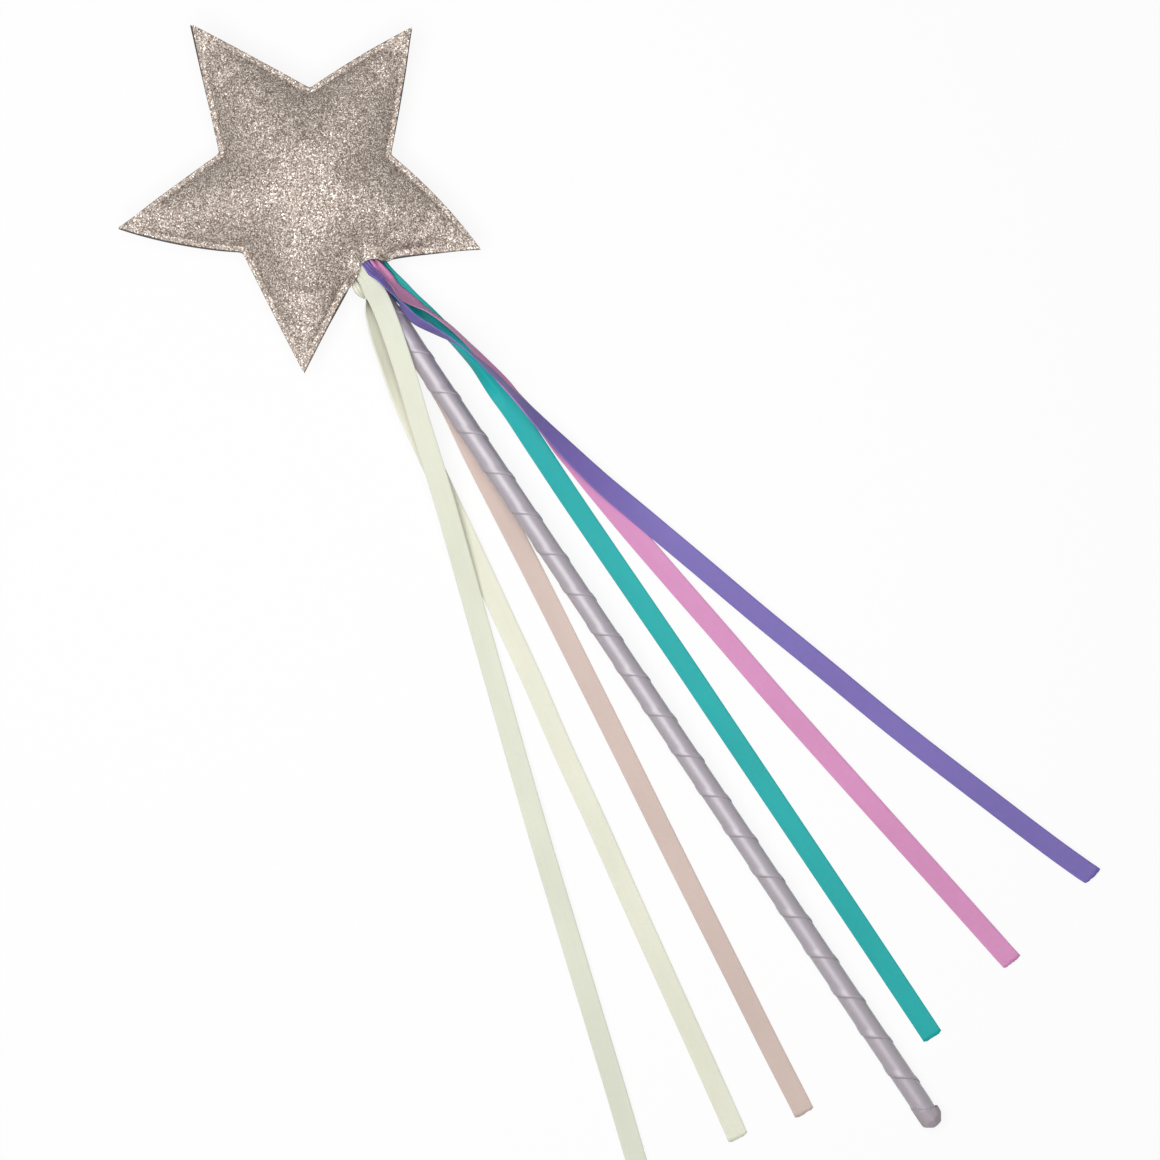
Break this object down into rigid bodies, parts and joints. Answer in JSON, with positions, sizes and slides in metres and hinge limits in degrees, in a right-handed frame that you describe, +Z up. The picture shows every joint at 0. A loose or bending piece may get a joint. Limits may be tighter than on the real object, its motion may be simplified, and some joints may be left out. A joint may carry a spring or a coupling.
{
  "type": "toy magic wand",
  "caption": "Toy wand with a stuffed five-point glitter star on a ribbon-wrapped dowel and loose satin ribbons that swing from its neck.",
  "frame": {"origin": "on the table under the middle of the wand, without its loose ribbons", "axes": "+Y along the shaft from the tip to the star, +Z up out of the star's face, +X to the right with the star up"},
  "size_m": [0.1706, 0.401, 0.0238],
  "materials": {
    "glitter_front": "champagne glitter fabric",
    "glitter_back": "champagne glitter fabric",
    "filling": "white fibre filling",
    "seam_thread": "fine sewing thread",
    "dowel_wood": "bare birch",
    "wrap_satin": "lavender grey satin",
    "cap_satin": "folded lavender grey satin",
    "lashing_thread": "wound cotton thread",
    "root_satin": "gathered satin",
    "sage_satin": "matt-backed sage satin",
    "cream_satin": "cream satin",
    "blush_satin": "blush satin",
    "teal_satin": "teal satin",
    "pink_satin": "pink satin",
    "purple_satin": "purple satin"
  },
  "bodies": {
    "wand": {"star_front_panel": "glitter_front", "star_back_panel": "glitter_back", "star_filling": "filling", "seam_stitching": "seam_thread", "dowel": "dowel_wood", "wrap_ribbon": "wrap_satin", "tip_cap": "cap_satin", "neck_lashing": "lashing_thread", "ribbon_roots": "root_satin"},
    "sage_ribbon": {"ribbon_sage": "sage_satin"},
    "cream_ribbon": {"ribbon_cream": "cream_satin"},
    "blush_ribbon": {"ribbon_blush": "blush_satin"},
    "teal_ribbon": {"ribbon_teal": "teal_satin"},
    "pink_ribbon": {"ribbon_pink": "pink_satin"},
    "purple_ribbon": {"ribbon_purple": "purple_satin"}
  },
  "joints": [
    {"name": "sage_swing", "type": "hinge", "parent": "wand", "child": "sage_ribbon", "pos_m": [-0.00096, 0.10905, 0.01428], "axis": [0, 0, 1], "range_deg": [-30, 2]},
    {"name": "cream_swing", "type": "hinge", "parent": "wand", "child": "cream_ribbon", "pos_m": [-0.00364, 0.10905, 0.01006], "axis": [0, 0, 1], "range_deg": [-30, 3]},
    {"name": "blush_swing", "type": "hinge", "parent": "wand", "child": "blush_ribbon", "pos_m": [0, 0.10905, 0.007], "axis": [0, 0, 1], "range_deg": [-30, 2]},
    {"name": "teal_swing", "type": "hinge", "parent": "wand", "child": "teal_ribbon", "pos_m": [0.00275, 0.10905, 0.00823], "axis": [0, 0, 1], "range_deg": [-1, 30]},
    {"name": "pink_swing", "type": "hinge", "parent": "wand", "child": "pink_ribbon", "pos_m": [0.00364, 0.10905, 0.01135], "axis": [0, 0, 1], "range_deg": [-3, 30]},
    {"name": "purple_swing", "type": "hinge", "parent": "wand", "child": "purple_ribbon", "pos_m": [0.00212, 0.10905, 0.01374], "axis": [0, 0, 1], "range_deg": [-6, 30]}
  ]
}
